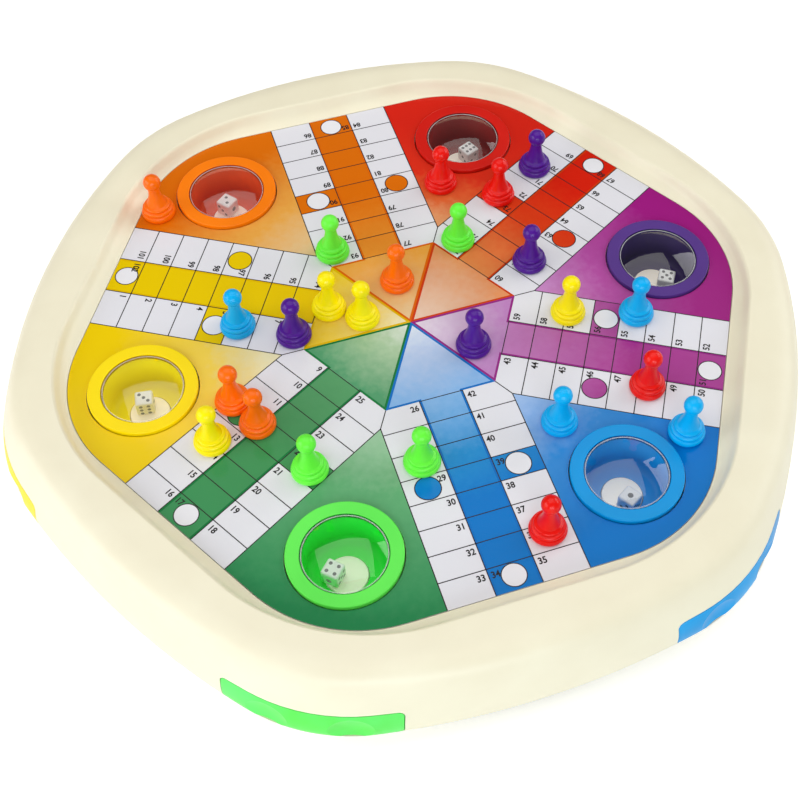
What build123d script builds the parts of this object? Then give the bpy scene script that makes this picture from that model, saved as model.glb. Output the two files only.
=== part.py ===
"""Six-player track board game in a moulded case, with six press-down dice poppers and six pawn drawers.

Millimetres. +Z is up, the feet stand on z = 0, and the board's centre is on the Z axis. The case is a
rounded hexagon with its corners at 0, 60 ... 300 degrees and its flat sides at 30, 90 ... 330 degrees.
"""

from math import atan2, cos, degrees, radians, sin
import os

from build123d import *

# ---- Driving dimensions ---------------------------------------------------------------------------

WALL = 2.5  # moulded wall of both halves of the case
RIB = 1.6
BASE_BOTTOM = 2.0
FLOOR_TOP = BASE_BOTTOM + WALL
PARTING_HEIGHT = 6.0  # joint between the base cover and the top casing
LIP_HEIGHT = 3.0
LIP_INSET = 1.0
SLIP = 0.1  # gap of pieces that plug or lie into one another
THROUGH = 100.0  # length of a cut or block that runs right past the case
BOARD_TOP = 43.0
RIM_TOP = 51.0

# Outside of the case: height, half width across the flat sides, half width across the corners.
CASE_SECTIONS = [
    (BASE_BOTTOM, 196.3, 204.0),
    (9.0, 199.6, 209.4),
    (16.0, 201.2, 212.0),
    (24.0, 200.9, 211.0),
    (33.0, 199.4, 208.2),
    (42.0, 197.2, 204.8),
    (46.5, 195.0, 202.4),
    (49.5, 191.2, 198.8),
    (50.7, 187.0, 194.6),
    (RIM_TOP, 182.0, 189.6),
]
CASE_CORNER_RADIUS = 92.0
BASE_APOTHEM, BASE_REACH = CASE_SECTIONS[0][1:]

BOARD_APOTHEM = 161.0
BOARD_REACH = 175.1
BOARD_THICKNESS = 2.0
DECK_TOP = BOARD_TOP - BOARD_THICKNESS
DECK_BOTTOM = DECK_TOP - WALL
# Inner slope of the rim, which is narrower at the corners: height, distances out from the board's
# edge at the sides and at the corners.
RIM_SLOPE = [
    (BOARD_TOP, 0.3, 0.3),
    (44.0, 2.6, 1.4),
    (45.6, 5.0, 2.6),
    (48.6, 7.0, 3.8),
    (50.4, 8.0, 4.7),
    (RIM_TOP, 9.6, 6.2),
]

CORNER_ANGLE = {"purple": 0, "red": 60, "orange": 120, "yellow": 180, "green": 240, "blue": 300}
ARM_ANGLES = [30, 90, 150, 210, 270, 330]

# Popper: ring and cup that slide down 4 mm round a fixed strike button, with a clear dome on top.
POPPER_DISTANCE = 138.5  # from the board's centre
RING_RADIUS = 27.2
RING_TOP = BOARD_TOP + 2.0
RING_THICKNESS = 3.0
CUP_RADIUS = 22.3
CUP_BORE = 19.6
CUP_BOTTOM = 21.8
CUP_FLOOR = 1.6
CUP_HOLE = 10.4
CUP_ROUND = 4.0
DOME_SEAT_RADIUS = 20.6
DOME_SEAT = 43.2
DOME_RADIUS = 20.3
DOME_EDGE = 1.2
DOME_FLANGE = 0.9
DOME_TOP = 48.6
WELL_RADIUS = 27.7
WELL_WALL = 1.5
WELL_BOTTOM = 26.0
WELL_LEDGE_RADIUS = 23.4
WELL_LEDGE = 2.0
LUG_COUNT = 3
LUG_REACH = 1.6
LUG_ROOT = 0.5
LUG_GAP = 0.2
LUG_HEIGHT = 1.8
LUG_WIDTH = 5.0
RING_ROUND = 0.5

SPRING_WIRE = 1.6
SPRING_RADIUS = 25.0
SPRING_TURNS = 3.5

BUTTON_RADIUS = 10.0
BUTTON_TOP = 24.0
BUTTON_WALL = 1.6
BUTTON_SKIRT = 17.0
BUTTON_ROUND = 0.5
COLLAR_RADIUS = 5.5
STEM_RADIUS = 4.0
STEM_BOTTOM = 7.0
SOCKET_RADIUS = 6.5
SOCKET_TOP = 13.5
SOCKET_SPARE = 0.5

DIE_SIZE = 9.0
DIE_FILLET = 1.1
# Where each die lies on its button: offset in X and Y, and turn.
DIE_PLACE = {
    "purple": (5.2, -4.3, -33),
    "red": (4.8, 2.7, 23),
    "orange": (-0.4, 5.0, 39),
    "yellow": (-1.2, 3.3, -8),
    "green": (-6.3, 0.5, -44),
    "blue": (0.5, -6.4, 31),
}

# Drawer: a tray behind a front that carries on the curve of the case.
DRAWER_HALF_WIDTH = 41.3
DRAWER_BOTTOM = 12.4
DRAWER_TOP = 29.4
DRAWER_ROUND = 3.0
DRAWER_GAP = 0.4
GRIP_OFFSET = 25.0
GRIP_SPHERE = 30.0
GRIP_DEPTH = 0.8
DRAWER_FRONT = 3.0
DRAWER_TRAVEL = 30.0
TRAY_HALF_WIDTH = 37.2
TRAY_WALL = 1.5
TRAY_BACK = 169.5
TRAY_FLOOR = 12.2
TRAY_FLOOR_WALL = 1.2
TRAY_TOP = 27.6
STOP_LIP = 1.6
STOP_WIDTH = 20.0
STOP_GAP = 0.3
STOP_DISTANCE = TRAY_BACK + TRAY_WALL + DRAWER_TRAVEL + STOP_GAP + RIB / 2
STOP_TOP = TRAY_FLOOR - 0.4
RUNNER_OFFSET = 26.0
RUNNER_TOP = TRAY_FLOOR - 0.2
GUIDE_OFFSET = TRAY_HALF_WIDTH + 1.2
GUIDE_TOP = 13.5
GUIDE_LENGTH = 27.0
GUIDE_MIDDLE = 182.0

RIB_HEIGHT = 8.0
HUB_RADIUS = 14.0

SCREW_RINGS = (70.0, 152.0)  # distances of the screws from the centre, on each arm
SCREW_RADIUS = 1.45
SCREW_HEAD_RADIUS = 3.0
SCREW_SEAT = 8.0
SCREW_HEAD = 2.1
SCREW_LENGTH = 14.0
CROSS_LENGTH = 3.6
CROSS_WIDTH = 0.8
BOSS_RADIUS = 5.0
BOSS_BORE = 1.5
BOSS_JOINT = 13.0
POST_BORE = 1.7
POST_RECESS = 3.4

FOOT_RADIUS = 8.0
FOOT_RECESS_RADIUS = 8.2
FOOT_DISTANCE = 178.0
FOOT_RECESS = 0.6
FOOT_ROUND = 0.8

PAWN_NECK_RADIUS = 3.0
PAWN_HEAD_RADIUS = 4.65
PAWN_HEIGHT = 27.5
# The three rolls of the pawn's foot, from the table up: start, fullest and end of each, as radius, height.
PAWN_ROLLS = [
    [(8.5, 0), (9.1, 1.9), (8.6, 3.4)],
    [(8.0, 3.7), (8.3, 4.7), (7.8, 5.7)],
    [(6.7, 6.0), (7.0, 6.8), (6.5, 7.6)],
]
PAWN_SHOULDER = (5.4, 8.2)
PAWN_WAIST = (3.8, 12.5)
# Where the four pawns of each colour stand on the board.
PAWN_PLACES = {
    "purple": [(-59.2, 9.9), (25.5, -24.9), (100.5, 85.4), (72.4, 19.3)],
    "red": [(45.9, 89.5), (73.3, 70.9), (98.8, -76.3), (22.5, -136.9)],
    "orange": [(-107.7, 116.9), (1.4, 28.2), (-97.9, -21.3), (-89.7, -38.2)],
    "yellow": [(-37.5, 21.5), (-22.8, 10.0), (-112.6, -41.1), (78.9, -19.9)],
    "green": [(-25.3, 58.6), (41.2, 45.8), (-72.5, -71.3), (-20.9, -83.8)],
    "blue": [(-84.9, 24.7), (112.2, -31.5), (49.5, -82.8), (105.7, -107.4)],
}


# ---- Shared outlines ------------------------------------------------------------------------------


def bowed_hexagon(apothem, reach, corner_radius=CASE_CORNER_RADIUS):
    """Sketch with six shallow side arcs and six corner arcs, all tangent, from its two half widths."""
    corner_centre = reach - corner_radius
    across = corner_centre * cos(radians(30))
    # The side arc's centre lies this far past the middle, so that it meets the corner arc in tangent.
    setback = (corner_centre**2 - (apothem - corner_radius) ** 2) / (2 * (apothem - corner_radius - across))
    side_radius = apothem + setback
    side_half_angle = degrees(atan2(corner_centre * sin(radians(30)), across + setback))
    corner_half_angle = 30 - side_half_angle
    with BuildSketch() as outline:
        with BuildLine():
            for corner in range(6):
                angle = 60 * corner
                centre = Vector(corner_centre, 0).rotate(Axis.Z, angle)
                CenterArc(centre, corner_radius, angle - corner_half_angle, 2 * corner_half_angle)
                side = angle + 30
                centre = Vector(-setback, 0).rotate(Axis.Z, side)
                CenterArc(centre, side_radius, side - side_half_angle, 2 * side_half_angle)
        make_face()
    return outline.sketch


def case_form(inset=0.0):
    """Solid of the case's outside, or of a form that lies inset inside it."""
    with BuildPart() as form:
        for height, apothem, reach in CASE_SECTIONS:
            with BuildSketch(Plane.XY.offset(height)):
                add(bowed_hexagon(apothem - inset, reach - inset))
        loft()
    return form.part


def board_hexagon(side_out=0.0, corner_out=0.0):
    """Face of the board's outline, straight sides and round corners, grown at its sides and its corners."""
    sharp_corner = 1 / cos(radians(30))
    apothem = BOARD_APOTHEM + side_out
    RegularPolygon(apothem, 6, major_radius=False)
    fillet(vertices(), (apothem * sharp_corner - BOARD_REACH - corner_out) / (sharp_corner - 1))


def front_outline(clearance=0.0):
    """Outline of a drawer front, seen along the drawer's travel, grown by the clearance."""
    with Locations((0, (DRAWER_BOTTOM + DRAWER_TOP) / 2)):
        width = 2 * (DRAWER_HALF_WIDTH + clearance)
        height = DRAWER_TOP - DRAWER_BOTTOM + 2 * clearance
        RectangleRounded(width, height, DRAWER_ROUND + clearance)


def popper_places(height=0.0):
    """Locations over the six popper centres."""
    places = []
    for angle in CORNER_ANGLE.values():
        centre = Vector(POPPER_DISTANCE, 0, height).rotate(Axis.Z, angle)
        places.append(Location(centre, (0, 0, angle)))
    return places


def arm_places(distance, height=0.0):
    """Locations on the six arms, at a distance from the centre."""
    places = []
    for angle in ARM_ANGLES:
        places.append(Location(Vector(distance, 0, height).rotate(Axis.Z, angle), (0, 0, angle)))
    return places


def write_piece(piece, name):
    """Name a finished piece and write its STEP file."""
    piece.label = name
    export_step(piece, f"parts/{name}.step")


def cap_radius(half_width, rise):
    """Radius of the sphere whose cap has this half width and rise."""
    return (half_width**2 + rise**2) / (2 * rise)


ON_FLOOR = (Align.CENTER, Align.CENTER, Align.MIN)
FROM_BACK = (Align.MIN, Align.CENTER, Align.MIN)
os.makedirs("parts", exist_ok=True)


# ---- Top casing: rim, side wall, deck under the board, wells and screw bosses ---------------------

with BuildPart() as case_hollow:
    add(case_form(WALL))
    split(bisect_by=Plane.XY.offset(RIM_TOP - WALL), keep=Keep.BOTTOM)

with BuildPart() as top_casing:
    add(case_form())
    split(bisect_by=Plane.XY.offset(PARTING_HEIGHT), keep=Keep.TOP)
    add(case_hollow.part, mode=Mode.SUBTRACT)
    # The tub that carries the board hangs inside the rim.
    tub_gap = RIM_SLOPE[0][1]
    with BuildSketch(Plane.XY.offset(DECK_BOTTOM)):
        board_hexagon(tub_gap + WALL, tub_gap + WALL)
    with BuildSketch(Plane.XY.offset(RIM_TOP - WALL / 2)):
        board_hexagon(RIM_SLOPE[-1][1] + WALL, RIM_SLOPE[-1][2] + WALL)
    loft()
    with BuildSketch(Plane.XY.offset(DECK_TOP)):
        board_hexagon(tub_gap, tub_gap)
    extrude(amount=BOARD_TOP - DECK_TOP, mode=Mode.SUBTRACT)
    for height, side_out, corner_out in RIM_SLOPE:
        with BuildSketch(Plane.XY.offset(height)):
            board_hexagon(side_out, corner_out)
    loft(mode=Mode.SUBTRACT)
    # Wells: a sleeve with a ledge inside its lower end, which the spring stands on.
    with BuildSketch(Plane.XY.offset(WELL_BOTTOM)):
        with Locations(*popper_places()):
            Circle(WELL_RADIUS + WELL_WALL)
    extrude(until=Until.NEXT)
    with BuildSketch(Plane.XY.offset(DECK_TOP)):
        with Locations(*popper_places()):
            Circle(WELL_RADIUS)
    extrude(amount=WELL_BOTTOM + WELL_LEDGE - DECK_TOP, mode=Mode.SUBTRACT)
    with BuildSketch(Plane.XY.offset(WELL_BOTTOM + WELL_LEDGE)):
        with Locations(*popper_places()):
            Circle(WELL_LEDGE_RADIUS)
    extrude(amount=-WELL_LEDGE, mode=Mode.SUBTRACT)
    # Bosses that the case screws cut their thread in.
    with BuildSketch(Plane.XY.offset(BOSS_JOINT)):
        for distance in SCREW_RINGS:
            with Locations(*arm_places(distance)):
                Circle(BOSS_RADIUS)
                Circle(BOSS_BORE, mode=Mode.SUBTRACT)
    extrude(amount=DECK_BOTTOM - BOSS_JOINT)
    # Windows in the side wall for the drawers.
    for angle in CORNER_ANGLE.values():
        with BuildSketch(Plane.YZ.rotated((0, 0, angle)).offset(TRAY_BACK)):
            front_outline(DRAWER_GAP)
        extrude(amount=THROUGH, mode=Mode.SUBTRACT)
write_piece(top_casing.part, "top_casing")


# ---- Base cover: floor, edge, screw posts, strike button sockets and drawer runners ---------------

with BuildPart() as base_cover:
    add(case_form())
    split(bisect_by=Plane.XY.offset(PARTING_HEIGHT), keep=Keep.BOTTOM)
    with BuildSketch(Plane.XY.offset(FLOOR_TOP)):
        add(bowed_hexagon(BASE_APOTHEM - WALL, BASE_REACH - WALL))
    extrude(amount=PARTING_HEIGHT - FLOOR_TOP, mode=Mode.SUBTRACT)
    # Lip that locates the top casing.
    with BuildSketch(Plane.XY.offset(PARTING_HEIGHT)):
        add(bowed_hexagon(BASE_APOTHEM - LIP_INSET, BASE_REACH - LIP_INSET))
        add(bowed_hexagon(BASE_APOTHEM - WALL, BASE_REACH - WALL), mode=Mode.SUBTRACT)
    extrude(amount=LIP_HEIGHT)
    # Posts that carry the screws, joined along each arm by a rib that ends in a hub.
    with BuildSketch(Plane.XY.offset(FLOOR_TOP)):
        for distance in SCREW_RINGS:
            with Locations(*arm_places(distance)):
                Circle(BOSS_RADIUS)
    extrude(amount=BOSS_JOINT - FLOOR_TOP)
    rib_start = HUB_RADIUS - RIB / 2
    rib_end = SCREW_RINGS[1] - BOSS_RADIUS + RIB
    with BuildSketch(Plane.XY.offset(FLOOR_TOP)):
        Circle(HUB_RADIUS)
        Circle(HUB_RADIUS - RIB, mode=Mode.SUBTRACT)
        with Locations(*arm_places((rib_start + rib_end) / 2)):
            Rectangle(rib_end - rib_start, RIB)
    extrude(amount=RIB_HEIGHT)
    # Sockets that carry the strike buttons.
    with BuildSketch(Plane.XY.offset(FLOOR_TOP)):
        with Locations(*popper_places()):
            Circle(SOCKET_RADIUS)
    extrude(amount=SOCKET_TOP - FLOOR_TOP)
    # Two runners, two side guides and a stop for each drawer.
    for angle in CORNER_ANGLE.values():
        with Locations(Location((0, 0, FLOOR_TOP), (0, 0, angle))):
            with Locations((GUIDE_MIDDLE, RUNNER_OFFSET), (GUIDE_MIDDLE, -RUNNER_OFFSET)):
                Box(GUIDE_LENGTH, RIB, RUNNER_TOP - FLOOR_TOP, align=ON_FLOOR)
            with Locations((GUIDE_MIDDLE, GUIDE_OFFSET), (GUIDE_MIDDLE, -GUIDE_OFFSET)):
                Box(GUIDE_LENGTH, RIB, GUIDE_TOP - FLOOR_TOP, align=ON_FLOOR)
            with Locations((STOP_DISTANCE, 0)):
                Box(RIB, STOP_WIDTH, STOP_TOP - FLOOR_TOP, align=ON_FLOOR)
    with Locations(*popper_places(SOCKET_TOP)):
        Hole(STEM_RADIUS + SLIP, depth=SOCKET_TOP - STEM_BOTTOM + SOCKET_SPARE)
    for distance in SCREW_RINGS:
        with Locations(*arm_places(distance, BOSS_JOINT)):
            Hole(POST_BORE)
        with BuildSketch(Plane.XY.offset(BASE_BOTTOM)):
            with Locations(*arm_places(distance)):
                Circle(POST_RECESS)
        extrude(amount=SCREW_SEAT - BASE_BOTTOM, mode=Mode.SUBTRACT)
    with BuildSketch(Plane.XY.offset(BASE_BOTTOM)):
        with Locations(*arm_places(FOOT_DISTANCE)):
            Circle(FOOT_RECESS_RADIUS)
    extrude(amount=FOOT_RECESS, mode=Mode.SUBTRACT)
write_piece(base_cover.part, "base_cover")


# ---- Game board: printed sheet in the rim, open over the six wells --------------------------------

with BuildPart() as game_board:
    with BuildSketch(Plane.XY.offset(DECK_TOP)):
        board_hexagon(-SLIP, -SLIP)
        with Locations(*popper_places()):
            Circle(WELL_RADIUS + SLIP, mode=Mode.SUBTRACT)
    extrude(amount=BOARD_THICKNESS)
write_piece(game_board.part, "game_board")


# ---- Rubber feet and case screws ------------------------------------------------------------------

with BuildPart() as rubber_feet:
    with BuildSketch():
        with Locations(*arm_places(FOOT_DISTANCE)):
            Circle(FOOT_RADIUS)
    extrude(amount=BASE_BOTTOM + FOOT_RECESS)
    fillet(faces().filter_by(Plane.XY).group_by(Axis.Z)[0].edges(), FOOT_ROUND)
write_piece(rubber_feet.part, "rubber_feet")

with BuildPart() as case_screw:
    with BuildSketch(Plane.XY.offset(SCREW_SEAT - SCREW_HEAD)):
        Circle(SCREW_HEAD_RADIUS)
    extrude(amount=SCREW_HEAD)
    fillet(edges().group_by(Axis.Z)[0], SCREW_HEAD / 3)
    with BuildSketch(Plane.XY.offset(SCREW_SEAT)):
        Circle(SCREW_RADIUS)
    extrude(amount=SCREW_LENGTH)
    chamfer(edges().group_by(Axis.Z)[-1], SCREW_RADIUS / 2)
    # Cross recess in the head.
    with BuildSketch(Plane.XY.offset(SCREW_SEAT - SCREW_HEAD)):
        Rectangle(CROSS_LENGTH, CROSS_WIDTH)
        Rectangle(CROSS_WIDTH, CROSS_LENGTH)
    extrude(amount=SCREW_HEAD / 2, mode=Mode.SUBTRACT)

with BuildPart() as case_screws:
    for distance in SCREW_RINGS:
        with Locations(*arm_places(distance)):
            add(case_screw.part)
write_piece(case_screws.part, "case_screws")


# ---- Strike plates: round button in each popper's open floor, on a stem that plugs into the base --

with BuildPart() as strike_plate:
    button_underside = BUTTON_TOP - BUTTON_WALL
    with BuildSketch(Plane.XZ):
        with BuildLine():
            Polyline(
                (0, BUTTON_TOP),
                (BUTTON_RADIUS, BUTTON_TOP),
                (BUTTON_RADIUS, BUTTON_SKIRT),
                (BUTTON_RADIUS - BUTTON_WALL, BUTTON_SKIRT),
                (BUTTON_RADIUS - BUTTON_WALL, button_underside),
                (COLLAR_RADIUS, button_underside),
                (COLLAR_RADIUS, SOCKET_TOP),
                (STEM_RADIUS, SOCKET_TOP),
                (STEM_RADIUS, STEM_BOTTOM),
                (0, STEM_BOTTOM),
                close=True,
            )
        make_face()
    revolve(axis=Axis.Z)
    fillet(edges().filter_by(GeomType.CIRCLE).group_by(Axis.Z)[-1], BUTTON_ROUND)
    # Four gussets between the collar and the skirt.
    with BuildSketch(Plane.XY.offset(BUTTON_SKIRT)):
        with PolarLocations((COLLAR_RADIUS + BUTTON_RADIUS - BUTTON_WALL) / 2, 4):
            Rectangle(BUTTON_RADIUS - COLLAR_RADIUS, RIB)
        Circle(BUTTON_RADIUS - BUTTON_WALL / 2, mode=Mode.INTERSECT)
    extrude(amount=button_underside - BUTTON_SKIRT)

with BuildPart() as strike_plates:
    with Locations(*popper_places()):
        add(strike_plate.part)
write_piece(strike_plates.part, "strike_plates")


# ---- Popper: ring and cup in one moulding, clear dome, return spring ------------------------------

with BuildPart() as popper_cup:
    with BuildSketch(Plane.XZ):
        with BuildLine():
            Polyline(
                (RING_RADIUS, RING_TOP - RING_THICKNESS),
                (RING_RADIUS, RING_TOP),
                (DOME_SEAT_RADIUS, RING_TOP),
                (DOME_SEAT_RADIUS, DOME_SEAT),
                (CUP_BORE, DOME_SEAT),
                (CUP_BORE, CUP_BOTTOM + CUP_FLOOR),
                (CUP_HOLE, CUP_BOTTOM + CUP_FLOOR),
                (CUP_HOLE, CUP_BOTTOM),
                (CUP_RADIUS, CUP_BOTTOM),
                (CUP_RADIUS, RING_TOP - RING_THICKNESS),
                close=True,
            )
        make_face()
    revolve(axis=Axis.Z)
    fillet(edges().filter_by(GeomType.CIRCLE).group_by(Axis.Z)[-1], RING_ROUND)
    # The cup rounds into its floor, which is open for the button.
    for height in (CUP_BOTTOM + CUP_FLOOR, CUP_BOTTOM):
        rounds = edges().filter_by(GeomType.CIRCLE)
        at_height = rounds.filter_by_position(Axis.Z, height - SLIP, height + SLIP)
        fillet(at_height.sort_by(SortBy.RADIUS)[-1], CUP_ROUND)
    # Lugs that snap under the ledge of the well and hold the cup in.
    with BuildSketch(Plane.XY.offset(WELL_BOTTOM - LUG_GAP)):
        with PolarLocations(CUP_RADIUS + (LUG_REACH - LUG_ROOT) / 2, LUG_COUNT):
            Rectangle(LUG_REACH + LUG_ROOT, LUG_WIDTH)
    extrude(amount=-LUG_HEIGHT)

with BuildPart() as dome:
    outer_rise = DOME_TOP - DOME_SEAT - DOME_EDGE
    outer_radius = DOME_RADIUS - DOME_FLANGE
    inner_radius = outer_radius - DOME_EDGE
    with BuildSketch(Plane.XZ):
        with BuildLine():
            RadiusArc(
                (0, DOME_TOP),
                (outer_radius, DOME_TOP - outer_rise),
                cap_radius(outer_radius, outer_rise),
            )
            Polyline(
                (outer_radius, DOME_TOP - outer_rise),
                (DOME_RADIUS, DOME_TOP - outer_rise),
                (DOME_RADIUS, DOME_SEAT),
                (inner_radius, DOME_SEAT),
            )
            RadiusArc(
                (inner_radius, DOME_SEAT),
                (0, DOME_SEAT + outer_rise),
                -cap_radius(inner_radius, outer_rise),
            )
            Line((0, DOME_SEAT + outer_rise), (0, DOME_TOP))
        make_face()
    revolve(axis=Axis.Z)

with BuildPart() as return_spring:
    spring_low = WELL_BOTTOM + WELL_LEDGE + SPRING_WIRE / 2
    spring_rise = RING_TOP - RING_THICKNESS - SPRING_WIRE / 2 - spring_low
    with BuildLine() as coil:
        Helix(spring_rise / SPRING_TURNS, spring_rise, SPRING_RADIUS, (0, 0, spring_low))
    with BuildSketch(Plane(coil.line @ 0, z_dir=coil.line % 0)):
        RegularPolygon(SPRING_WIRE / 2, 8)
    sweep()

for colour, place in zip(CORNER_ANGLE, popper_places()):
    for name, piece in (("popper_cup", popper_cup), ("dome", dome), ("return_spring", return_spring)):
        with BuildPart() as placed:
            with Locations(place):
                add(piece.part)
        write_piece(placed.part, f"{name}_{colour}")


# ---- Dice -----------------------------------------------------------------------------------------

with BuildPart() as die:
    Box(DIE_SIZE, DIE_SIZE, DIE_SIZE, align=ON_FLOOR)
    fillet(edges(), DIE_FILLET)

for colour, place in zip(CORNER_ANGLE, popper_places(BUTTON_TOP)):
    across, along, turn = DIE_PLACE[colour]
    with BuildPart() as placed:
        with Locations(Location(place.position + Vector(across, along), (0, 0, turn))):
            add(die.part)
    write_piece(placed.part, f"die_{colour}")


# ---- Drawers: curved front, open tray and a lip that meets the stop in the base -------------------

with BuildPart() as drawer_front:
    add(case_form())
    add(case_form(DRAWER_FRONT), mode=Mode.SUBTRACT)
    with BuildSketch(Plane.YZ.offset(TRAY_BACK)):
        front_outline()
    extrude(amount=THROUGH, mode=Mode.INTERSECT)
    # A shallow finger grip near each end.
    front_middle = (DRAWER_BOTTOM + DRAWER_TOP) / 2
    corner_centre = CASE_SECTIONS[3][2] - CASE_CORNER_RADIUS
    surface = corner_centre + (CASE_CORNER_RADIUS**2 - GRIP_OFFSET**2) ** 0.5
    for side in (-1, 1):
        with Locations((surface + GRIP_SPHERE - GRIP_DEPTH, side * GRIP_OFFSET, front_middle)):
            Sphere(GRIP_SPHERE, mode=Mode.SUBTRACT)

with BuildPart() as drawer:
    add(case_form(DRAWER_FRONT / 2))
    with Locations((TRAY_BACK, 0, TRAY_FLOOR)):
        tray_height = TRAY_TOP - TRAY_FLOOR
        Box(THROUGH, 2 * TRAY_HALF_WIDTH, tray_height, align=FROM_BACK, mode=Mode.INTERSECT)
    with Locations((TRAY_BACK + TRAY_WALL, 0, TRAY_FLOOR + TRAY_FLOOR_WALL)):
        Box(THROUGH, 2 * (TRAY_HALF_WIDTH - TRAY_WALL), TRAY_TOP, align=FROM_BACK, mode=Mode.SUBTRACT)
    with Locations((TRAY_BACK, 0, TRAY_FLOOR)):
        Box(TRAY_WALL, STOP_WIDTH, STOP_LIP, align=(Align.MIN, Align.CENTER, Align.MAX))
    add(drawer_front.part)

for colour, angle in CORNER_ANGLE.items():
    with BuildPart() as placed:
        with Locations(Location((0, 0, 0), (0, 0, angle))):
            add(drawer.part)
    write_piece(placed.part, f"drawer_{colour}")


# ---- Pawns: rolled foot, flared body, neck and ball head ------------------------------------------

with BuildPart() as pawn:
    head_height = PAWN_HEIGHT - PAWN_HEAD_RADIUS
    neck_height = head_height - (PAWN_HEAD_RADIUS**2 - PAWN_NECK_RADIUS**2) ** 0.5
    with BuildSketch(Plane.XZ):
        with BuildLine():
            Line((0, 0), PAWN_ROLLS[0][0])
            for roll in PAWN_ROLLS:
                ThreePointArc(*roll)
            for roll, above in zip(PAWN_ROLLS, PAWN_ROLLS[1:]):
                Line(roll[-1], above[0])
            Line(PAWN_ROLLS[-1][-1], PAWN_SHOULDER)
            ThreePointArc(PAWN_SHOULDER, PAWN_WAIST, (PAWN_NECK_RADIUS, neck_height))
            ThreePointArc((PAWN_NECK_RADIUS, neck_height), (PAWN_HEAD_RADIUS, head_height), (0, PAWN_HEIGHT))
            Line((0, PAWN_HEIGHT), (0, 0))
        make_face()
    revolve(axis=Axis.Z)

for colour, spots in PAWN_PLACES.items():
    for number, (x, y) in enumerate(spots, 1):
        with BuildPart() as placed:
            with Locations((x, y, BOARD_TOP)):
                add(pawn.part)
        write_piece(placed.part, f"pawn_{colour}_{number}")
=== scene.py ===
"""Looks of a six-player track game in a moulded case: camera, table, lamps, finishes, printed track and dice pips."""

from math import cos, pi, radians, sin, sqrt

import bpy
from mathutils import Matrix, Quaternion, Vector


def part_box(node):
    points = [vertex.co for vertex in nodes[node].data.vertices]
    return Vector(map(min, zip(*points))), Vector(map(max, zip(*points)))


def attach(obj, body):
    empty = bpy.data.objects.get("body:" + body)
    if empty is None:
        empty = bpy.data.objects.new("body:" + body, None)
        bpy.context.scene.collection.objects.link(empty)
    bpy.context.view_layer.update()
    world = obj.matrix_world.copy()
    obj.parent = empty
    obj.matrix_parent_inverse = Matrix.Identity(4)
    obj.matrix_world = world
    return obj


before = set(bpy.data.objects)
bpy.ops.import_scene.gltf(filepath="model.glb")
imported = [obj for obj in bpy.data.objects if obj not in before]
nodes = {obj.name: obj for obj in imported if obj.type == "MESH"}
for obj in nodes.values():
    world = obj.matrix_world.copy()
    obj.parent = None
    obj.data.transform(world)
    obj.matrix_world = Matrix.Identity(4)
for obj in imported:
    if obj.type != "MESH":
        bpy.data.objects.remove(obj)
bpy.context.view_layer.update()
bpy.ops.object.select_all(action="DESELECT")


# ---- Camera, table and lamps ------------------------------------------------------------------------
# The game stands on a seamless pale table in a small product studio: a broad soft box overhead, a cool lamp low
# in front, and a soft box on each side whose reflections model the pawns. The camera looks down over the blue arm.

aim = Vector((0.00343, -0.05308, 0.0430))
camera_turn, camera_rise, camera_roll = radians(-109.257), radians(54.336), radians(0.804)
camera_distance = 0.62578
away = Vector((cos(camera_rise) * cos(camera_turn), cos(camera_rise) * sin(camera_turn), sin(camera_rise)))
bpy.ops.object.camera_add(location=aim + camera_distance * away)
camera = bpy.context.object
camera.rotation_mode = "QUATERNION"
camera.rotation_quaternion = away.to_track_quat("Z", "Y") @ Quaternion((0, 0, 1), camera_roll)
camera.data.lens = 57.207
camera.data.shift_x = -0.0625
camera.data.clip_start = 0.01
bpy.context.scene.camera = camera


def hue(code):
    """Linear colour of an sRGB hex code."""
    parts = [int(code[i : i + 2], 16) / 255 for i in (1, 3, 5)]
    return [p / 12.92 if p <= 0.04045 else ((p + 0.055) / 1.055) ** 2.4 for p in parts] + [1]


def add_node(material, kind, settings=None, **sockets):
    """Add a node to a material, with its settings and the values or links of its inputs."""
    node = material.node_tree.nodes.new(kind)
    for name, value in (settings or {}).items():
        setattr(node, name, value)
    for name, value in sockets.items():
        socket = node.inputs[name.replace("_", " ")]
        if isinstance(value, bpy.types.NodeSocket):
            material.node_tree.links.new(value, socket)
        else:
            socket.default_value = value
    return node


# matt paper, with a little glow for the camera, mirrors and clear pieces that keeps it pale behind the game
table_finish = bpy.data.materials.new("white seamless paper")
table_finish.use_nodes = True
table_shader = table_finish.node_tree.nodes["Principled BSDF"]
table_shader.inputs["Base Color"].default_value = hue("#f4f4f4")
table_shader.inputs["Roughness"].default_value = 0.9
table_path = add_node(table_finish, "ShaderNodeLightPath")
table_seen = table_path.outputs["Is Camera Ray"]
for ray in ("Is Glossy Ray", "Is Transmission Ray"):
    either = add_node(table_finish, "ShaderNodeMath", {"operation": "MAXIMUM"})
    table_finish.node_tree.links.new(table_seen, either.inputs[0])
    table_finish.node_tree.links.new(table_path.outputs[ray], either.inputs[1])
    table_seen = either.outputs[0]
table_glow = add_node(table_finish, "ShaderNodeMath", {"operation": "MULTIPLY"})
table_finish.node_tree.links.new(table_seen, table_glow.inputs[0])
table_glow.inputs[1].default_value = 0.3
table_white = add_node(table_finish, "ShaderNodeEmission", Color=(1, 1, 1, 1), Strength=table_glow.outputs[0])
table_sum = add_node(table_finish, "ShaderNodeAddShader")
table_finish.node_tree.links.new(table_shader.outputs[0], table_sum.inputs[0])
table_finish.node_tree.links.new(table_white.outputs[0], table_sum.inputs[1])
table_output = table_finish.node_tree.nodes["Material Output"]
table_finish.node_tree.links.new(table_sum.outputs[0], table_output.inputs["Surface"])
bpy.ops.mesh.primitive_plane_add(size=8)
table = bpy.context.object
table.name = "table"
table.data.materials.append(table_finish)

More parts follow.
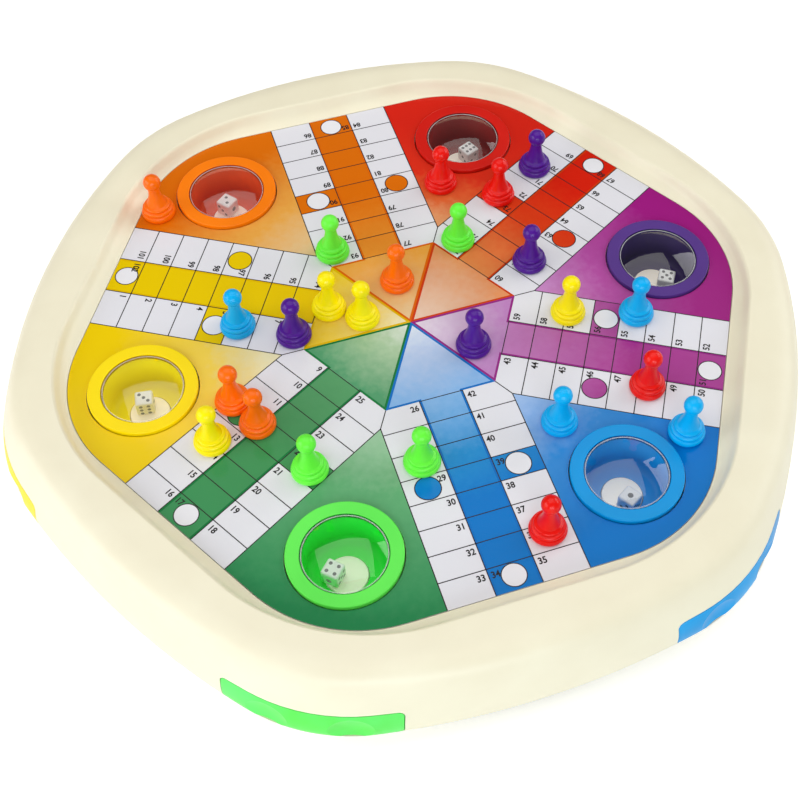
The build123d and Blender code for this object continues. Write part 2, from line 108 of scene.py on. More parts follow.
room = bpy.context.scene.world or bpy.data.worlds.new("room")
bpy.context.scene.world = room
room.use_nodes = True
room_light = room.node_tree.nodes["Background"]
room_light.inputs["Color"].default_value = (1, 1, 1, 1)
room_light.inputs["Strength"].default_value = 0.18


def add_lamp(place, width, depth, power, tint):
    """Soft box that faces the middle of the game."""
    bpy.ops.object.light_add(type="AREA", location=place)
    lamp = bpy.context.object
    lamp.data.shape = "RECTANGLE"
    lamp.data.size = width
    lamp.data.size_y = depth
    lamp.data.energy = power
    lamp.data.color = tint
    lamp.rotation_mode = "QUATERNION"
    lamp.rotation_quaternion = (lamp.location - aim).to_track_quat("Z", "Y")


add_lamp((0.02, 0.25, 1.3), 1.5, 1.3, 9.2, (1.0, 0.99, 0.95))
add_lamp((-0.35, -1.5, 0.55), 1.3, 0.7, 13.5, (0.90, 0.97, 1.0))
add_lamp((-1.35, -0.05, 0.55), 1.2, 0.8, 9.5, (1.0, 1.0, 1.0))
add_lamp((1.35, 0.15, 0.75), 1.2, 0.9, 9, (1.0, 1.0, 1.0))

bpy.context.scene.view_settings.view_transform = "Standard"


# ---- Case: top casing and base cover ------------------------------------------------------------------
# Both halves are injection moulded in cream polypropylene with a satin skin. Screws from below hold them
# together, and their joint runs round the foot of the wall.


def moulded(name, colour, shade, roughness, grain=900.0, relief=0.00002, coat=0.0, mirror=0.5):
    """Moulded plastic: slight clouding between two close colours, with a fine skin that breaks the gloss."""
    plastic = bpy.data.materials.new(name)
    plastic.use_nodes = True
    shader = plastic.node_tree.nodes["Principled BSDF"]
    place = add_node(plastic, "ShaderNodeTexCoord")
    cloud = add_node(plastic, "ShaderNodeTexNoise", Vector=place.outputs["Object"], Scale=35.0, Detail=4.0)
    tint = add_node(plastic, "ShaderNodeValToRGB", Fac=cloud.outputs["Fac"])
    tint.color_ramp.elements[0].position = 0.3
    tint.color_ramp.elements[0].color = hue(shade)
    tint.color_ramp.elements[1].position = 0.7
    tint.color_ramp.elements[1].color = hue(colour)
    plastic.node_tree.links.new(tint.outputs["Color"], shader.inputs["Base Color"])
    skin = add_node(plastic, "ShaderNodeTexNoise", Vector=place.outputs["Object"], Scale=grain, Detail=3.0)
    gloss = add_node(plastic, "ShaderNodeMapRange", Value=cloud.outputs["Fac"])
    gloss.inputs["To Min"].default_value = roughness - 0.05
    gloss.inputs["To Max"].default_value = roughness + 0.05
    plastic.node_tree.links.new(gloss.outputs["Result"], shader.inputs["Roughness"])
    bump = add_node(plastic, "ShaderNodeBump", Strength=0.3, Distance=relief, Height=skin.outputs["Fac"])
    plastic.node_tree.links.new(bump.outputs["Normal"], shader.inputs["Normal"])
    shader.inputs["Specular IOR Level"].default_value = mirror
    shader.inputs["Coat Weight"].default_value = coat
    shader.inputs["Coat Roughness"].default_value = 0.08
    return plastic


def finish_node(node, material):
    """Give a CAD node this material in its slots."""
    for slot in nodes[node].material_slots:
        slot.material = material


cream_plastic = moulded("cream moulded polypropylene", "#f3ecd2", "#efe7cc", 0.42)
finish_node("top_casing", cream_plastic)
finish_node("base_cover", cream_plastic)


# ---- Feet and screws -----------------------------------------------------------------------------------
# Six buttons of soft rubber, nearly black and without gloss, are glued into recesses of the base. Twelve zinc
# plated screws, a dull silver, sit deep in their posts.

foot_rubber = moulded("dark foot rubber", "#3a3a3a", "#303030", 0.85, grain=1500.0)
finish_node("rubber_feet", foot_rubber)

screw_steel = bpy.data.materials.new("zinc plated screw steel")
screw_steel.use_nodes = True
screw_shader = screw_steel.node_tree.nodes["Principled BSDF"]
screw_shader.inputs["Metallic"].default_value = 1.0
screw_place = add_node(screw_steel, "ShaderNodeTexCoord")
screw_wear = add_node(screw_steel, "ShaderNodeTexNoise", Vector=screw_place.outputs["Object"], Scale=1200.0, Detail=4.0)
screw_tint = add_node(screw_steel, "ShaderNodeValToRGB", Fac=screw_wear.outputs["Fac"])
screw_tint.color_ramp.elements[0].color = hue("#a8a9ac")
screw_tint.color_ramp.elements[1].color = hue("#cfd0d2")
screw_steel.node_tree.links.new(screw_tint.outputs["Color"], screw_shader.inputs["Base Color"])
screw_gloss = add_node(screw_steel, "ShaderNodeMapRange", Value=screw_wear.outputs["Fac"])
screw_gloss.inputs["To Min"].default_value = 0.25
screw_gloss.inputs["To Max"].default_value = 0.45
screw_steel.node_tree.links.new(screw_gloss.outputs["Result"], screw_shader.inputs["Roughness"])
finish_node("case_screws", screw_steel)


# ---- Strike buttons and return springs -----------------------------------------------------------------
# Under each die stands a cream moulded button whose stem plugs into the base; the cup drops round it and so
# throws the die. A wire spring under the ring pushes the cup up again.

colours = ["purple", "red", "orange", "yellow", "green", "blue"]

button_plastic = moulded("cream moulded styrene", "#fff6e8", "#faf0e0", 0.3, coat=0.2)
# painted light: a faint cream glow, so a button stays bright at the bottom of its cup
button_painted_glow = button_plastic.node_tree.nodes["Principled BSDF"]
button_painted_glow.inputs["Emission Color"].default_value = hue("#fff3e4")
button_painted_glow.inputs["Emission Strength"].default_value = 0.12
finish_node("strike_plates", button_plastic)
for colour in colours:
    finish_node("return_spring_" + colour, screw_steel)


# ---- Printed track ---------------------------------------------------------------------------------------
# The board is white card with a printed sheet under a glossy film. Each arm has three rows of cells: a
# coloured home run between two rows of white numbered cells. Runs and corner fields fade towards the middle.

arm_angle = {"purple": 330, "red": 30, "orange": 90, "yellow": 150, "green": 210, "blue": 270}
sheet_top = 0.0430
# heights of the layers of print: coloured areas, lines, filled spots, then rings and numbers
area_lift = 0.00002
line_lift = 0.00004
spot_lift = 0.00005
ring_lift = 0.00006
goal_reach = 0.0570
arm_start = goal_reach * sqrt(3) / 2
arm_end = 0.1609
arm_half = 0.03403
run_half = 0.0112
row_count = 8
row_pitch = (0.1610 - arm_start) / row_count
safe_index = 3
spot_radius = 0.0063
turn_radius = 0.0059
turn_shift = 0.0005
line_width = 0.0005
border_width = 0.0012
weld_distance = 0.00001
pick_margin = 0.0001
skin_depth = 0.0005
fade_reach = 0.2


def printed(name, stops):
    """Glossy print whose colour changes with the distance from the board's centre, in metres."""
    ink = bpy.data.materials.new(name)
    ink.use_nodes = True
    shader = ink.node_tree.nodes["Principled BSDF"]
    place = add_node(ink, "ShaderNodeTexCoord")
    grain = add_node(ink, "ShaderNodeTexNoise", Vector=place.outputs["Object"], Scale=260.0, Detail=3.0)
    shift = add_node(ink, "ShaderNodeMapRange", Value=grain.outputs["Fac"])
    shift.inputs["To Min"].default_value = -0.008
    shift.inputs["To Max"].default_value = 0.008
    flat = add_node(ink, "ShaderNodeVectorMath", {"operation": "MULTIPLY"}, Vector=place.outputs["Object"])
    flat.inputs[1].default_value = (1, 1, 0)
    reach = add_node(ink, "ShaderNodeVectorMath", {"operation": "LENGTH"}, Vector=flat.outputs[0])
    stir = add_node(ink, "ShaderNodeMath", {"operation": "ADD"})
    ink.node_tree.links.new(reach.outputs["Value"], stir.inputs[0])
    ink.node_tree.links.new(shift.outputs["Result"], stir.inputs[1])
    span = add_node(ink, "ShaderNodeMapRange", Value=stir.outputs[0])
    span.inputs["From Max"].default_value = fade_reach
    fade = add_node(ink, "ShaderNodeValToRGB", Fac=span.outputs["Result"])
    ramp = fade.color_ramp
    while len(ramp.elements) < len(stops):
        ramp.elements.new(0.5)
    for element, (distance, code) in zip(ramp.elements, stops):
        element.position = distance / fade_reach
        element.color = hue(code)
    ink.node_tree.links.new(fade.outputs["Color"], shader.inputs["Base Color"])
    film = add_node(ink, "ShaderNodeTexNoise", Vector=place.outputs["Object"], Scale=120.0, Detail=2.0)
    bump = add_node(ink, "ShaderNodeBump", Strength=0.15, Distance=0.0001, Height=film.outputs["Fac"])
    ink.node_tree.links.new(bump.outputs["Normal"], shader.inputs["Normal"])
    shader.inputs["Roughness"].default_value = 0.12
    shader.inputs["Specular IOR Level"].default_value = 0.12
    return ink


def edit(piece):
    """Enter edit mode on this piece alone, with nothing selected."""
    bpy.ops.object.select_all(action="DESELECT")
    piece.select_set(True)
    bpy.context.view_layer.objects.active = piece
    bpy.ops.object.mode_set(mode="EDIT")
    bpy.ops.mesh.select_all(action="DESELECT")


def pick_faces(piece, wanted):
    """Select the faces of the edited piece whose centre and normal pass the test."""
    bpy.ops.mesh.select_mode(type="FACE")
    bpy.ops.mesh.select_all(action="DESELECT")
    bpy.ops.object.mode_set(mode="OBJECT")
    for face in piece.data.polygons:
        face.select = wanted(face.center, face.normal)
    bpy.ops.object.mode_set(mode="EDIT")


def pick_edges(piece, wanted):
    """Select the edges of the edited piece whose two ends pass the test."""
    bpy.ops.mesh.select_mode(type="EDGE")
    bpy.ops.mesh.select_all(action="DESELECT")
    bpy.ops.object.mode_set(mode="OBJECT")
    points = piece.data.vertices
    for edge in piece.data.edges:
        edge.select = wanted(points[edge.vertices[0]].co, points[edge.vertices[1]].co)
    bpy.ops.object.mode_set(mode="EDIT")


def finish(piece, name, material, body):
    """Name a finished piece, give it its material and let it ride on its body."""
    bpy.ops.object.select_all(action="DESELECT")
    piece.select_set(True)
    bpy.context.view_layer.objects.active = piece
    bpy.ops.object.transform_apply(location=True, rotation=True, scale=True)
    piece.name = name
    if material:
        piece.data.materials.clear()
        piece.data.materials.append(material)
    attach(piece, body)
    return piece


def join(pieces):
    """Join pieces into the first one."""
    bpy.ops.object.select_all(action="DESELECT")
    for piece in pieces:
        piece.select_set(True)
    bpy.context.view_layer.objects.active = pieces[0]
    bpy.ops.object.join()
    return bpy.context.object


def turned_copy(piece, angle):
    """Copy of a piece with its own mesh, turned about the board's centre."""
    copy = piece.copy()
    copy.data = piece.data.copy()
    copy.data.transform(Matrix.Rotation(radians(angle), 4, "Z"))
    bpy.context.collection.objects.link(copy)
    return copy


def strip(low, high, height):
    """Flat rectangle between two corners, at a height."""
    middle = ((low[0] + high[0]) / 2, (low[1] + high[1]) / 2, height)
    bpy.ops.mesh.primitive_plane_add(size=1, location=middle)
    piece = bpy.context.object
    bpy.ops.object.mode_set(mode="EDIT")
    bpy.ops.transform.resize(value=(high[0] - low[0], high[1] - low[1], 1))
    bpy.ops.object.mode_set(mode="OBJECT")
    bpy.ops.object.transform_apply(location=True, rotation=False, scale=False)
    return piece


white_card = printed("white card under gloss film", [(0.0, "#e1e0e6"), (fade_reach, "#e3e2e9")])
finish_node("game_board", white_card)

# stops of distance from the centre and colour for the goal, the home run and the corner field; then the border
inks = {
    "purple": (
        [(0.0, "#e2d8e4"), (0.020, "#d0b8d3"), (0.050, "#bc80bd")],
        [(0.050, "#c07ab8"), (0.115, "#a3338a"), (0.160, "#a83f92")],
        [(0.075, "#c686c3"), (0.105, "#b04d9e"), (0.150, "#9d1a7e")],
        "#922480",
    ),
    "red": (
        [(0.0, "#e8ccb8"), (0.020, "#e4bb9e"), (0.050, "#e49460")],
        [(0.050, "#de8448"), (0.095, "#d83e16"), (0.130, "#d4200a")],
        [(0.075, "#e09868"), (0.090, "#de6836"), (0.110, "#d8301a"), (0.150, "#d42415")],
        "#cc3c0e",
    ),
    "orange": (
        [(0.0, "#e6cba0"), (0.020, "#e5b676"), (0.050, "#e7a042")],
        [(0.050, "#e5902f"), (0.095, "#dd6e06"), (0.160, "#d86a08")],
        [(0.075, "#e2bf8e"), (0.105, "#e6a448"), (0.150, "#db6d06")],
        "#d96406",
    ),
    "yellow": (
        [(0.0, "#ede4c4"), (0.020, "#edd57c"), (0.050, "#eac52e")],
        [(0.050, "#e7c406"), (0.160, "#e8c600")],
        [(0.075, "#e8dfb4"), (0.105, "#f3d150"), (0.150, "#f0cc04")],
        "#deb400",
    ),
    "green": (
        [(0.0, "#dde4da"), (0.020, "#a8c5a0"), (0.050, "#50996a")],
        [(0.050, "#549a64"), (0.105, "#3d8c52"), (0.150, "#3a8e55")],
        [(0.075, "#98c29d"), (0.105, "#60a772"), (0.170, "#17824a")],
        "#087438",
    ),
    "blue": (
        [(0.0, "#dbe3ee"), (0.020, "#b8c9e8"), (0.050, "#84b2e3")],
        [(0.050, "#82b2e2"), (0.085, "#208cce"), (0.110, "#0074c4")],
        [(0.070, "#9ebce6"), (0.110, "#3489d2"), (0.150, "#0074c6")],
        "#026cbe",
    ),
}

black_ink = printed("black print", [(0.0, "#2a2627"), (fade_reach, "#262324")])
white_ink = printed("white print", [(0.0, "#e8e7ec"), (fade_reach, "#eae9ef")])

# Goal and home run of one arm, along +X, as one face with a border: the triangle of a six-sided fan that lies on
# +X is cut at the run's sides, and its middle edge is drawn out to the end of the arm.
bpy.ops.mesh.primitive_circle_add(
    vertices=6, radius=goal_reach, fill_type="TRIFAN", location=(0, 0, sheet_top + area_lift)
)
home_run = bpy.context.object
bpy.ops.object.transform_apply(location=True, rotation=True, scale=True)
edit(home_run)
pick_faces(home_run, lambda centre, normal: centre.x < goal_reach / 2)
bpy.ops.mesh.delete(type="FACE")
for side in (-1, 1):
    bpy.ops.mesh.select_all(action="SELECT")
    bpy.ops.mesh.bisect(plane_co=(0, side * run_half, 0), plane_no=(0, 1, 0))
pick_edges(
    home_run,
    lambda a, b: min(a.x, b.x) > arm_start - pick_margin and max(abs(a.y), abs(b.y)) < run_half + pick_margin,
)
bpy.ops.mesh.extrude_region_move(TRANSFORM_OT_translate={"value": (arm_end + border_width - arm_start, 0, 0)})
bpy.ops.mesh.select_all(action="SELECT")
bpy.ops.mesh.dissolve_faces()
bpy.ops.mesh.select_mode(type="FACE")
bpy.ops.mesh.select_all(action="SELECT")
bpy.ops.mesh.inset(thickness=border_width)
bpy.ops.object.mode_set(mode="OBJECT")
for face in home_run.data.polygons:
    face.material_index = 0 if face.select else 2
edit(home_run)
bpy.ops.mesh.select_all(action="SELECT")
bpy.ops.mesh.bisect(plane_co=(arm_start, 0, 0), plane_no=(1, 0, 0))
bpy.ops.mesh.select_all(action="SELECT")
bpy.ops.mesh.bisect(plane_co=(arm_end, 0, 0), plane_no=(1, 0, 0), clear_outer=True)
pick_faces(home_run, lambda centre, normal: normal.z < 0)
bpy.ops.mesh.flip_normals()
bpy.ops.object.mode_set(mode="OBJECT")
for face in home_run.data.polygons:
    if face.material_index == 0 and face.center.x < arm_start:
        face.material_index = 1

start_cell = strip(
    (arm_start + safe_index * row_pitch, run_half),
    (arm_start + (safe_index + 1) * row_pitch, arm_half),
    sheet_top + area_lift,
)

row_lines = [
    strip(
        (arm_start + row * row_pitch - line_width / 2, -arm_half),
        (arm_start + row * row_pitch + line_width / 2, arm_half),
        sheet_top + line_lift,
    )
    for row in range(1, row_count)
]
apex = arm_half * sqrt(3)
long_lines = [
    strip((start, across - line_width / 2), (arm_end, across + line_width / 2), sheet_top + line_lift)
    for across, start in ((-arm_half, apex), (-run_half, arm_start), (run_half, arm_start), (arm_half, apex))
]
entry_line = strip(
    (arm_start - line_width / 2, -run_half), (arm_start + line_width / 2, run_half), sheet_top + line_lift
)
corner_line = strip((goal_reach, -line_width / 2), (2 * arm_half, line_width / 2), sheet_top + line_lift)
corner_line.data.transform(Matrix.Rotation(radians(30), 4, "Z"))


def spot(centre, radius, height):
    """Filled disc of print."""
    bpy.ops.mesh.primitive_circle_add(
        vertices=48, radius=radius, fill_type="NGON", location=(centre[0], centre[1], height)
    )
    bpy.ops.object.transform_apply(location=True, rotation=False, scale=False)
    return bpy.context.object


def spot_ring(centre, radius, height):
    """Thin outline of a disc."""
    piece = spot(centre, radius + line_width / 2, height)
    edit(piece)
    bpy.ops.mesh.select_all(action="SELECT")
    bpy.ops.mesh.inset(thickness=line_width)
    bpy.ops.mesh.delete(type="FACE")
    bpy.ops.object.mode_set(mode="OBJECT")
    return piece


safe_row = arm_start + (safe_index + 0.5) * row_pitch
turn_place = arm_start + (row_count - 0.5) * row_pitch - turn_shift
side_middle = (run_half + arm_half) / 2
spots = {
    "safe": ((safe_row, -side_middle), spot_radius),
    "start": ((safe_row, side_middle), spot_radius),
    "turn": ((turn_place, 0), turn_radius),
}
rings = [spot_ring(place, radius, sheet_top + ring_lift) for place, radius in spots.values()]
arm_lines = join(row_lines + long_lines + [entry_line, corner_line] + rings)
white_spots = join([spot(*spots[name], sheet_top + spot_lift) for name in ("start", "turn")])
colour_spot = spot(*spots["safe"], sheet_top + spot_lift)


number_size = 0.0047
number_weight = 0.00012
number_margin = 0.0014
turn_margin = 0.0013
cell_count = 102


def cell_number(text, along, across, align):
    """Cell number, its head towards the board's centre."""
    bpy.ops.object.text_add(location=(along, across, sheet_top + ring_lift), rotation=(0, 0, pi / 2))
    number = bpy.context.object
    number.data.body = text
    number.data.size = number_size
    number.data.offset = number_weight
    number.data.resolution_u = 3
    number.data.align_x = align
    number.data.align_y = "TOP"
    number.scale.x = 0.9
    bpy.ops.object.convert(target="MESH")
    number = bpy.context.object
    bpy.ops.object.transform_apply(location=True, rotation=True, scale=True)
    return number


def number_text(count):
    """Cells are numbered on from 1 after the last cell of the round."""
    return str((count - 1) % cell_count + 1)


number_sets = []
first_number = {"blue": 26, "purple": 43, "red": 60, "orange": 77, "yellow": 94, "green": 9}
for colour in colours:
    arm = arm_angle[colour]
    goal_stops, run_stops, field_stops, border_code = inks[colour]
    goal_ink = printed(colour + " goal print", goal_stops)
    run_ink = printed(colour + " run print", run_stops)
    field_ink = printed(colour + " corner print", field_stops)
    border_ink = printed(colour + " border print", [(0.0, border_code), (fade_reach, border_code)])

    run_parts = [turned_copy(piece, arm) for piece in (home_run, start_cell, colour_spot)]
    for part in run_parts:
        part.data.materials.append(run_ink)
    for ink in (goal_ink, border_ink):
        run_parts[0].data.materials.append(ink)
    finish(join(run_parts), "home_run_" + colour, None, "case")

    # The corner field has the outline of the sheet itself, cut along the outer edges of the two arms beside it.
    field = bpy.data.objects.new("field", nodes["game_board"].data.copy())
    bpy.context.collection.objects.link(field)
    edit(field)
    bpy.ops.mesh.select_all(action="SELECT")
    bpy.ops.mesh.remove_doubles(threshold=weld_distance)
    for side in (-1, 1):
        edge_turn = radians(arm + 30 + side * 30)
        across = Vector((-sin(edge_turn), cos(edge_turn), 0)) * -side
        bpy.ops.mesh.select_all(action="SELECT")
        bpy.ops.mesh.bisect(plane_co=across * arm_half, plane_no=across, clear_inner=True)
    pick_faces(field, lambda centre, normal: normal.z < 0.9 or centre.z < sheet_top - skin_depth)
    bpy.ops.mesh.delete(type="FACE")
    bpy.ops.mesh.select_all(action="SELECT")
    bpy.ops.transform.translate(value=(0, 0, area_lift))
    bpy.ops.object.mode_set(mode="OBJECT")
    finish(field, "corner_field_" + colour, field_ink, "case")

    # They run out along one side of the arm, over the cell at its end and back along the other side.
    numbers = []
    first = first_number[colour]
    for row in range(row_count):
        along = arm_start + row * row_pitch + number_margin
        back = first + 2 * row_count - row
        numbers.append(cell_number(number_text(first + row), along, -run_half - number_margin, "RIGHT"))
        numbers.append(cell_number(number_text(back), along, run_half + number_margin, "LEFT"))
    end = arm_start + (row_count - 1) * row_pitch + number_margin
    numbers.append(cell_number(number_text(first + row_count), end, turn_margin - run_half, "LEFT"))
    number_sets.append(join(numbers))
    number_sets[-1].data.transform(Matrix.Rotation(radians(arm), 4, "Z"))

finish(join([turned_copy(arm_lines, arm) for arm in arm_angle.values()]), "track_lines", black_ink, "case")
finish(join([turned_copy(white_spots, arm) for arm in arm_angle.values()]), "white_spots", white_ink, "case")
finish(join(number_sets), "cell_numbers", black_ink, "case")
for pattern in (home_run, start_cell, colour_spot, arm_lines, white_spots):
    bpy.data.objects.remove(pattern)


# ---- Poppers: ring and cup, and the clear dome -------------------------------------------------------------
# Each ring and its cup are one glossy moulding in the player's colour; the seat carries painted shade, and the cup's
# inside a painted deeper colour that stands in for light passed from wall to wall. A clear polished styrene dome is
# glued into the seat over the die.
# Its outer skin alone mirrors, for both skins, and from inside it lets all light through.

plastic_codes = {
    "purple": ("#57358a", "#513082"),
    "red": ("#d61a0c", "#cd1408"),
    "orange": ("#ff8203", "#f97c00"),
    "yellow": ("#ffe100", "#fadb00"),
    "green": ("#66ee56", "#5ee650"),
    "blue": ("#0098e0", "#0092d8"),
}
# painted shade in each seat, darker than its ring
seat_painted_shade_codes = {
    "purple": "#241050",
    "red": "#7c0c0a",
    "orange": "#b83c00",
    "yellow": "#b89200",
    "green": "#0a8c24",
    "blue": "#045a9c",
}
# painted colour inside each cup, standing in for light passed from wall to wall
cup_painted_bounce_codes = {
    "purple": "#2c0a5e",
    "red": "#94100c",
    "orange": "#e85208",
    "yellow": "#fff000",
    "green": "#14f03c",
    "blue": "#1c9ce2",
}
# radius about the popper's axis and height that bound the painted shade of the seat and of the cup's inside
seat_radius, seat_height = 0.0209, 0.0447
cup_radius, cup_height = 0.0198, 0.0431


def under(material, value, limit):
    """1 where a value lies under a limit, else 0."""
    test = add_node(material, "ShaderNodeMath", {"operation": "LESS_THAN"})
    material.node_tree.links.new(value, test.inputs[0])
    test.inputs[1].default_value = limit
    return test.outputs[0]


def paint_popper_shading(plastic, centre, radius, height, code):
    """Paint shading in a colour over the part of a popper that lies inside a radius about its axis and below a height.
    """
    tree = plastic.node_tree
    shader = tree.nodes["Principled BSDF"]
    plain = shader.inputs["Base Color"].links[0].from_socket
    place = add_node(plastic, "ShaderNodeTexCoord").outputs["Object"]
    axis = add_node(plastic, "ShaderNodeVectorMath", {"operation": "SUBTRACT"}, Vector=place)
    axis.inputs[1].default_value = centre
    flat = add_node(plastic, "ShaderNodeVectorMath", {"operation": "MULTIPLY"}, Vector=axis.outputs[0])
    flat.inputs[1].default_value = (1, 1, 0)
    out = add_node(plastic, "ShaderNodeVectorMath", {"operation": "LENGTH"}, Vector=flat.outputs[0])
    up = add_node(plastic, "ShaderNodeSeparateXYZ", Vector=place)
    both = add_node(plastic, "ShaderNodeMath", {"operation": "MULTIPLY"})
    tree.links.new(under(plastic, out.outputs["Value"], radius), both.inputs[0])
    tree.links.new(under(plastic, up.outputs["Z"], height), both.inputs[1])
    blend = add_node(plastic, "ShaderNodeMix", {"data_type": "RGBA"})
    tree.links.new(both.outputs[0], blend.inputs["Factor"])
    tree.links.new(plain, blend.inputs[6])
    blend.inputs[7].default_value = hue(code)
    tree.links.new(blend.outputs[2], shader.inputs["Base Color"])


for colour in colours:
    light, dark = plastic_codes[colour]
    ring_plastic = moulded(colour + " popper styrene", light, dark, 0.3, grain=1400.0, relief=0.00001, mirror=0.2)
    low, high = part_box("popper_cup_" + colour)
    # painted shade over the seat, then painted bounce light inside the cup
    paint_popper_shading(ring_plastic, (low + high) / 2, seat_radius, seat_height, seat_painted_shade_codes[colour])
    paint_popper_shading(ring_plastic, (low + high) / 2, cup_radius, cup_height, cup_painted_bounce_codes[colour])
    finish_node("popper_cup_" + colour, ring_plastic)

clear_styrene = bpy.data.materials.new("clear polished styrene")
clear_styrene.use_nodes = True
clear_tree = clear_styrene.node_tree
clear_tree.nodes.remove(clear_tree.nodes["Principled BSDF"])
see_through = add_node(clear_styrene, "ShaderNodeBsdfTransparent", Color=(0.99, 0.995, 0.995, 1))
sheen = add_node(clear_styrene, "ShaderNodeBsdfGlossy", Color=(1, 1, 1, 1), Roughness=0.03)
grazing = add_node(clear_styrene, "ShaderNodeFresnel", IOR=1.58)
dome_side = add_node(clear_styrene, "ShaderNodeNewGeometry")
outer_skin = add_node(clear_styrene, "ShaderNodeMapRange", Value=dome_side.outputs["Backfacing"])
outer_skin.inputs["To Min"].default_value = 1.0
outer_skin.inputs["To Max"].default_value = 0.0
mirror_share = add_node(clear_styrene, "ShaderNodeMath", {"operation": "MULTIPLY", "use_clamp": True})
clear_tree.links.new(grazing.outputs["Fac"], mirror_share.inputs[0])
clear_tree.links.new(outer_skin.outputs["Result"], mirror_share.inputs[1])
dome_mix = add_node(clear_styrene, "ShaderNodeMixShader", Fac=mirror_share.outputs[0])
clear_tree.links.new(see_through.outputs[0], dome_mix.inputs[1])
clear_tree.links.new(sheen.outputs[0], dome_mix.inputs[2])
clear_tree.links.new(dome_mix.outputs[0], clear_tree.nodes["Material Output"].inputs["Surface"])

# A thin pale ring round the seat of each dome is a painted highlight, for the light that its polished rim gathers.
dome_rim_highlight = bpy.data.materials.new("painted highlight of the dome edge")
dome_rim_highlight.use_nodes = True
rim_shader = dome_rim_highlight.node_tree.nodes["Principled BSDF"]
rim_place = add_node(dome_rim_highlight, "ShaderNodeTexCoord")
rim_cloud = add_node(dome_rim_highlight, "ShaderNodeTexNoise", Vector=rim_place.outputs["Object"], Scale=400.0, Detail=2.0)
rim_clear = add_node(dome_rim_highlight, "ShaderNodeMapRange", Value=rim_cloud.outputs["Fac"])
rim_clear.inputs["To Min"].default_value = 0.2
rim_clear.inputs["To Max"].default_value = 0.45
dome_rim_highlight.node_tree.links.new(rim_clear.outputs["Result"], rim_shader.inputs["Alpha"])
rim_shader.inputs["Base Color"].default_value = hue("#fbfcfc")
rim_shader.inputs["Roughness"].default_value = 0.12
rim_width = 0.0002
rim_height = 0.0011
for colour in colours:
    finish_node("dome_" + colour, clear_styrene)
    low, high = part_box("dome_" + colour)
    middle = (low + high) / 2
    bpy.ops.mesh.primitive_torus_add(
        location=(middle.x, middle.y, low.z + rim_height),
        major_segments=96,
        minor_segments=8,
        major_radius=(high.x - low.x) / 2 - 2 * rim_width,
        minor_radius=rim_width,
    )
    dome_highlight_ring = finish(bpy.context.object, "dome_edge_highlight_" + colour, dome_rim_highlight, "popper_" + colour)


# ---- Drawers -----------------------------------------------------------------------------------------------
# Each drawer is one moulding in the player's colour: a tray behind a front that follows the wall of the case. Its
# skin is a little duller than the rings'. It slides on runners of the base cover.

drawer_codes = {
    "purple": "#5a3a90",
    "red": "#da2212",
    "orange": "#ff8c14",
    "yellow": "#ffe61c",
    "green": "#6af27a",
    "blue": "#06a6ec",
}
for colour in colours:
    light, dark = drawer_codes[colour], plastic_codes[colour][1]
    drawer_plastic = moulded(colour + " drawer styrene", light, dark, 0.35, grain=1400.0, mirror=0.15)
    finish_node("drawer_" + colour, drawer_plastic)


# ---- Dice --------------------------------------------------------------------------------------------------
# Small white dice of polished styrene, with dull dark grey paint in their pips. Opposite faces add up to seven.

die_styrene = moulded("white polished styrene", "#f4f3f2", "#eeedec", 0.22, grain=1500.0, relief=0.000005)
pip_paint = moulded("dark grey pip paint", "#6a696c", "#5e5d60", 0.5, grain=2500.0)
die_size = 0.0090
pip_step = 0.0021
pip_radius = 0.0009
lone_pip_radius = 0.0014
pip_edge = 0.00015
pip_rise = 0.00003
pip_lift = 0.00001
pip_layout = {
    1: [(0, 0)],
    2: [(-0.7, -0.7), (0.7, 0.7)],
    3: [(-1, 1), (0, 0), (1, -1)],
    4: [(-1, -1), (-1, 1), (1, -1), (1, 1)],
    5: [(-1, -1), (-1, 1), (1, -1), (1, 1), (0, 0)],
    6: [(-0.9, -1.25), (-0.9, 0), (-0.9, 1.25), (0.9, -1.25), (0.9, 0), (0.9, 1.25)],
}
# top, front and right side of each die, and how far it is turned on its button
die_lie = {
    "purple": (5, 1, 3, -33),
    "red": (6, 3, 2, -67),
    "orange": (2, 1, 4, 39),
    "yellow": (3, 6, 5, -8),
    "green": (4, 1, 5, -44),
    "blue": (1, 3, 5, 31),
}


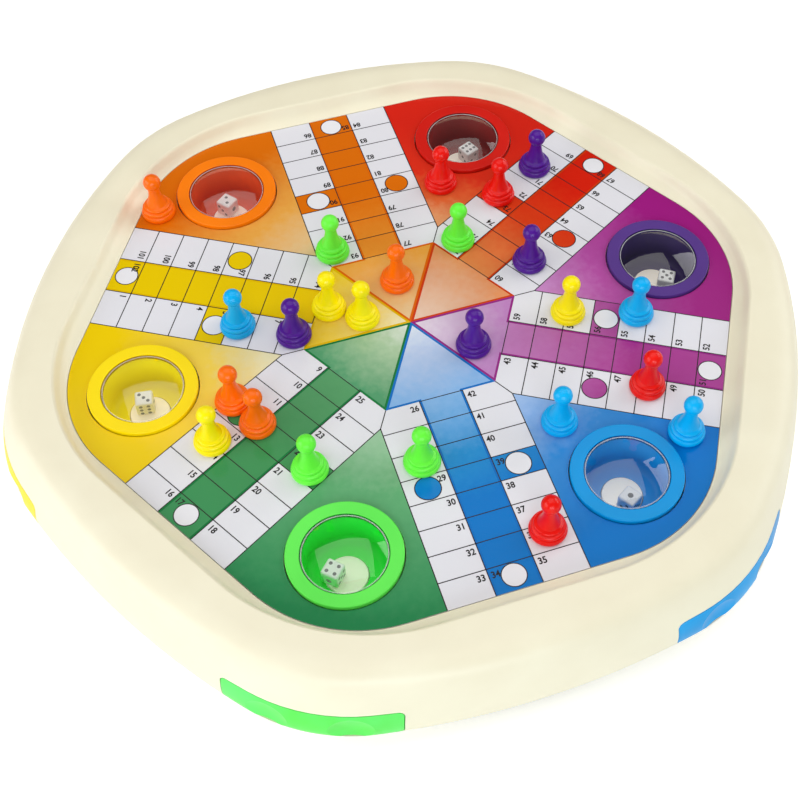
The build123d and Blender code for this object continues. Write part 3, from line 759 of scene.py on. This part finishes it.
def pips(count, outward, upward):
    """Pips of one face of a die: shallow painted discs, each with a rounded edge."""
    placed = []
    sideways = upward.cross(outward)
    radius = lone_pip_radius if count == 1 else pip_radius
    for across, along in pip_layout[count]:
        bpy.ops.mesh.primitive_circle_add(vertices=24, radius=radius, fill_type="NGON")
        pip = bpy.context.object
        edit(pip)
        bpy.ops.mesh.select_all(action="SELECT")
        bpy.ops.mesh.inset(thickness=pip_edge, depth=pip_rise)
        bpy.ops.object.mode_set(mode="OBJECT")
        facing = Matrix((sideways, upward, outward)).transposed().to_4x4()
        centre = outward * (die_size / 2 + pip_lift) + (sideways * across + upward * along) * pip_step
        pip.data.transform(Matrix.Translation(centre) @ facing)
        placed.append(pip)
    return placed


for colour in colours:
    finish_node("die_" + colour, die_styrene)
    top, front, right, turn = die_lie[colour]
    x, y, z = Vector((1, 0, 0)), Vector((0, 1, 0)), Vector((0, 0, 1))
    faces = [(top, z, y), (7 - top, -z, y), (front, -y, z), (7 - front, y, z), (right, x, z), (7 - right, -x, z)]
    die_pips = join([pip for count, outward, upward in faces for pip in pips(count, outward, upward)])
    low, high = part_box("die_" + colour)
    middle = (low + high) / 2
    die_pips.data.transform(Matrix.Translation(middle) @ Matrix.Rotation(radians(turn), 4, "Z"))
    finish(die_pips, "die_pips_" + colour, pip_paint, "die_" + colour)


# ---- Pawns ---------------------------------------------------------------------------------------------------
# Six sets of four pawns, turned in shape with a ball head and a ringed foot, moulded in glossy solid colours.

pawn_codes = {
    "purple": ("#521694", "#480f86"),
    "red": ("#f0140a", "#e60e04"),
    "orange": ("#ff7204", "#fa6800"),
    "yellow": ("#fff000", "#ffe800"),
    "green": ("#74fc4c", "#66f43c"),
    "blue": ("#04b6f6", "#00aaee"),
}
for colour in colours:
    light, dark = pawn_codes[colour]
    pawn_plastic = moulded(colour + " glossy pawn plastic", light, dark, 0.3, grain=700.0, coat=0.15, mirror=0.2)
    for number in (1, 2, 3, 4):
        finish_node("pawn_%s_%d" % (colour, number), pawn_plastic)
